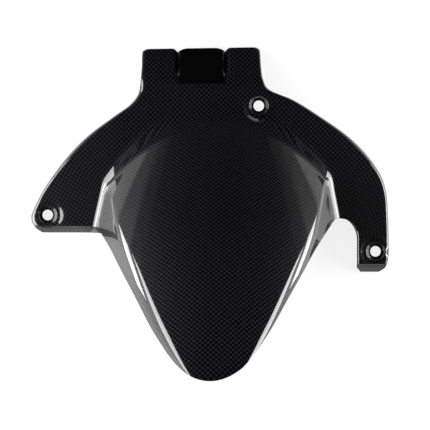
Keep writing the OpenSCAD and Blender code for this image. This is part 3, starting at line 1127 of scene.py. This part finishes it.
@dataclass
class FenderPiece:
    """Builds the finished fender piece and dresses it."""

    form: FenderShell
    placement: Placement
    finish: WovenCarbon = field(default_factory=WovenCarbon)
    name: str = "moulded_fender"
    weld_reach: float = 3e-6
    sharp_degrees: float = 48.0

    def dish(self) -> bpy.types.Object:
        """Turn one bolt seat as a mesh round its own axis, with its rim on z = 0."""
        seats = self.form.seats
        profile = np.array(seats.profile(self.form.thickness)) * MM
        ring, m = seats.circle(), seats.around
        points = np.vstack([np.column_stack([ring * r, np.full(m, z)]) for r, z in profile])
        faces = [(k * m + i, (k + 1) * m + i, (k + 1) * m + (i + 1) % m, k * m + (i + 1) % m)
                 for k in range(len(profile) - 1) for i in range(m)]
        return mesh_object("bolt_seat", points, faces)

    def pressed_seats(self, material: bpy.types.Material) -> bpy.types.Mesh:
        """Set a dish into each place with geometry nodes and make the result one mesh."""
        seats = self.form.seats
        spots = np.array([[x, y, self.form.seat_height(i)]
                          for i, (x, y) in enumerate(seats.places)])
        carrier = mesh_object("seat_places", self.placement.to_frame(spots), [])
        dish = self.dish()
        tree = bpy.data.node_groups.new("press_bolt_seats", "GeometryNodeTree")
        face = tree.interface
        face.new_socket("Places", in_out="INPUT", socket_type="NodeSocketGeometry")
        seat_in = face.new_socket("Seat", in_out="INPUT", socket_type="NodeSocketObject")
        size_in = face.new_socket("Seat Size", in_out="INPUT", socket_type="NodeSocketFloat")
        finish_in = face.new_socket("Finish", in_out="INPUT", socket_type="NodeSocketMaterial")
        face.new_socket("Seats", in_out="OUTPUT", socket_type="NodeSocketGeometry")
        nodes = Nodes(tree)
        given = nodes.add("NodeGroupInput")
        shape = nodes.wire("GeometryNodeObjectInfo", "Geometry",
                           {"transform_space": "ORIGINAL"}, Object=given.outputs["Seat"])
        placed = nodes.wire("GeometryNodeInstanceOnPoints", 0, None,
                            Points=given.outputs["Places"], Instance=shape,
                            Scale=given.outputs["Seat Size"])
        solid = nodes.wire("GeometryNodeRealizeInstances", 0, None, Geometry=placed)
        dressed = nodes.wire("GeometryNodeSetMaterial", 0, None, Geometry=solid,
                             Material=given.outputs["Finish"])
        nodes.add("NodeGroupOutput", None, Seats=dressed)
        modifier = carrier.modifiers.new("press_bolt_seats", "NODES")
        modifier.node_group = tree
        modifier[seat_in.identifier] = dish
        modifier[size_in.identifier] = 1.0
        modifier[finish_in.identifier] = material
        graph = bpy.context.evaluated_depsgraph_get()
        mesh = bpy.data.meshes.new_from_object(carrier.evaluated_get(graph), depsgraph=graph)
        carrier.modifiers.remove(modifier)
        for spare in (carrier, dish):
            bpy.data.objects.remove(spare)
        return mesh

    def build(self) -> bpy.types.Object:
        """Build the piece, weld its seats in and dress it.

        Returns:
            The object, with the cloth map and the woven finish.
        """
        maker = ShellMesh(self.form)
        patch = maker.build()
        cloth_tab = self.form.arch.foot_y - self.form.tab.crease_y
        material = self.finish.material(self.form.cloth.plain_lobe, cloth_tab)
        seats = self.pressed_seats(material)
        points = self.placement.to_frame(np.vstack(patch.points))
        extra = read_points(seats, "co")
        start = len(points)
        faces = patch.faces + [tuple(start + v for v in p.vertices) for p in seats.polygons]
        piece = mesh_object(self.name, np.vstack([points, extra]), faces)
        cloth = np.vstack([*patch.cloth, self.seat_cloth(maker, extra)])
        write_map(piece.data, "cloth", cloth)
        weld(piece.data, self.weld_reach)
        write_map(piece.data, "sheen_and_gloss", self.sheen_and_gloss(piece.data))
        piece.data.materials.append(material)
        piece.data.shade_smooth()
        piece.data.set_sharp_from_angle(angle=math.radians(self.sharp_degrees))
        bpy.data.meshes.remove(seats)
        return piece

    def sheen_and_gloss(self, mesh: bpy.types.Mesh) -> Array:
        """Painted shade on the weave's sheen, and how thick the gloss coat is, at each point."""
        points, normals = read_points(mesh, "co"), read_points(mesh, "normal")
        x, y, _ = (points / MM + self.placement.origin()).T
        thin = ease(*self.finish.thin_from, normals[:, 1])
        gloss = mix(1.0, self.finish.thin_coat, thin)
        return np.column_stack([self.form.cloth.show(x, y), gloss])

    def seat_cloth(self, maker: "ShellMesh", points: Array) -> Array:
        """Carry the cloth from the shell over the seats."""
        design = points / MM + self.placement.origin()
        places = np.array(self.form.seats.places)
        nearest = np.argmin(np.hypot(*(design[:, None, :2] - places).transpose(2, 0, 1)), axis=1)
        flat = np.column_stack([design[:, :2], np.ones(len(design))])
        return np.array([p @ maker.seat_cloth[i] for p, i in zip(flat, nearest)])


def mesh_object(name: str, points: Array, faces: Sequence[tuple[int, ...]]) -> bpy.types.Object:
    """Make an object of points in metres and faces, with its origin at the world's."""
    mesh = bpy.data.meshes.new(name)
    mesh.from_pydata([tuple(map(float, p)) for p in points], [],
                     [tuple(map(int, f)) for f in faces])
    mesh.update()
    made = bpy.data.objects.new(name, mesh)
    bpy.context.scene.collection.objects.link(made)
    return made


def read_points(mesh: bpy.types.Mesh, what: str) -> Array:
    """Read the place or the normal of each point of a mesh, as rows of xyz."""
    values = np.empty(len(mesh.vertices) * 3)
    mesh.vertices.foreach_get(what, values)
    return values.reshape(-1, 3)


def write_map(mesh: bpy.types.Mesh, name: str, at_points: Array) -> None:
    """Write a place at each point as a map of the mesh."""
    corner = np.empty(len(mesh.loops), dtype=np.int32)
    mesh.loops.foreach_get("vertex_index", corner)
    layer = mesh.uv_layers.new(name=name)
    layer.data.foreach_set("uv", at_points[corner].astype(np.float32).ravel())


def weld(mesh: bpy.types.Mesh, reach: float) -> None:
    """Merge the points of a mesh that lie closer than the given reach."""
    work = bmesh.new()
    work.from_mesh(mesh)
    bmesh.ops.remove_doubles(work, verts=work.verts, dist=reach)
    bare = [e for e in work.edges if not e.is_manifold]
    log.info("%s: %d open edges after welding", mesh.name, len(bare))
    work.to_mesh(mesh)
    work.free()


@dataclass
class Camera:
    """The photograph's view: straight down, over the middle of the picture."""

    height: float = 1120.0
    lens: float = 108.4186
    sensor: float = 36.0
    clip_end: float = 20.0

    def build(self, placement: Placement) -> None:
        """Set up the camera and make it the scene's."""
        data = bpy.data.cameras.new("camera")
        data.lens, data.sensor_width, data.clip_end = self.lens, self.sensor, self.clip_end
        made = bpy.data.objects.new("camera", data)
        made.location = placement.to_frame(np.array([0.0, 0.0, self.height]))
        bpy.context.scene.collection.objects.link(made)
        bpy.context.scene.camera = made


@dataclass
class Softbox:
    """One soft studio light, aimed at a point."""

    name: str
    place: tuple[float, float, float]
    aim: tuple[float, float, float]
    size: Pair
    power: float

    def build(self) -> None:
        """Set the light up."""
        data = bpy.data.lights.new(self.name, "AREA")
        data.shape, data.size, data.size_y = "RECTANGLE", *self.size
        data.energy = self.power
        made = bpy.data.objects.new(self.name, data)
        made.location = self.place
        ray = Vector(self.aim) - Vector(self.place)
        made.rotation_euler = ray.to_track_quat("-Z", "Y").to_euler()
        made.visible_camera = False
        bpy.context.scene.collection.objects.link(made)


@dataclass
class Studio:
    """The floor, the soft lights and the backdrop."""

    floor_size: float = 6.0
    floor_finish: PaleFloor = field(default_factory=PaleFloor)
    room: float = 0.01
    dusk: float = 0.01
    pale: float = 0.75
    height_fade: Pair = (0.35, 0.8)
    side_fade: Pair = (-0.7, 0.35)
    boxes: tuple[Softbox, ...] = (
        Softbox("left_softbox", (-0.56, 0.0, 0.25), (-0.02, 0.0, 0.25), (0.7, 0.48), 11.6),
        Softbox("right_softbox", (0.56, -0.02, 0.16), (0.02, -0.02, 0.16), (0.66, 0.3), 7.4),
        Softbox("left_strip", (-0.212, 0.0, 0.031), (0.0, 0.0, 0.031), (0.13, 0.042), 0.19),
        Softbox("right_strip", (0.212, 0.0, 0.031), (0.0, 0.0, 0.031), (0.12, 0.042), 0.15),
    )

    def build(self) -> bpy.types.Object:
        """Build the studio and return its floor."""
        half = self.floor_size / 2
        floor = mesh_object("studio_floor", np.array([[-half, -half, 0], [half, -half, 0],
                                                      [half, half, 0], [-half, half, 0]]),
                            [(0, 1, 2, 3)])
        floor.data.materials.append(self.floor_finish.material())
        for box in self.boxes:
            box.build()
        bpy.context.scene.world = self.backdrop()
        return floor

    def backdrop(self) -> bpy.types.World:
        """Make the room: dim, with a pale backdrop low down on the tongue's side."""
        world = bpy.data.worlds.new("studio_room")
        nodes = fresh_nodes(world)
        seen = nodes.background_ray()
        _, y, z = nodes.parts(nodes.wire("ShaderNodeTexCoord", "Generated"))
        low = 1.0 - z.between(*self.height_fade)
        pale = 1.0 - y.between(*self.side_fade)
        back = nodes.add("ShaderNodeBackground", None, Color=WHITE,
                         Strength=seen * low * pale.blend(self.dusk, self.pale) + self.room)
        nodes.add("ShaderNodeOutputWorld", None, Surface=back.outputs[0])
        return world


def main() -> None:
    """Build the fender, its studio and its camera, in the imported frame."""
    form = FenderShell()
    placement = Placement(form, frame["record"]["mounts"])
    log.info("frame origin in the design: %s", np.round(placement.origin(), 4))
    piece = FenderPiece(form, placement).build()
    log.info("%s: %d points, %d faces", piece.name, len(piece.data.vertices),
             len(piece.data.polygons))
    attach(piece, BODY)
    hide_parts(NODE)
    Studio().build()
    Camera().build(placement)
    bpy.context.scene.view_settings.view_transform = "Standard"


if __name__ == "__main__":
    logging.basicConfig(level=logging.INFO, format="%(name)s: %(message)s")
    main()
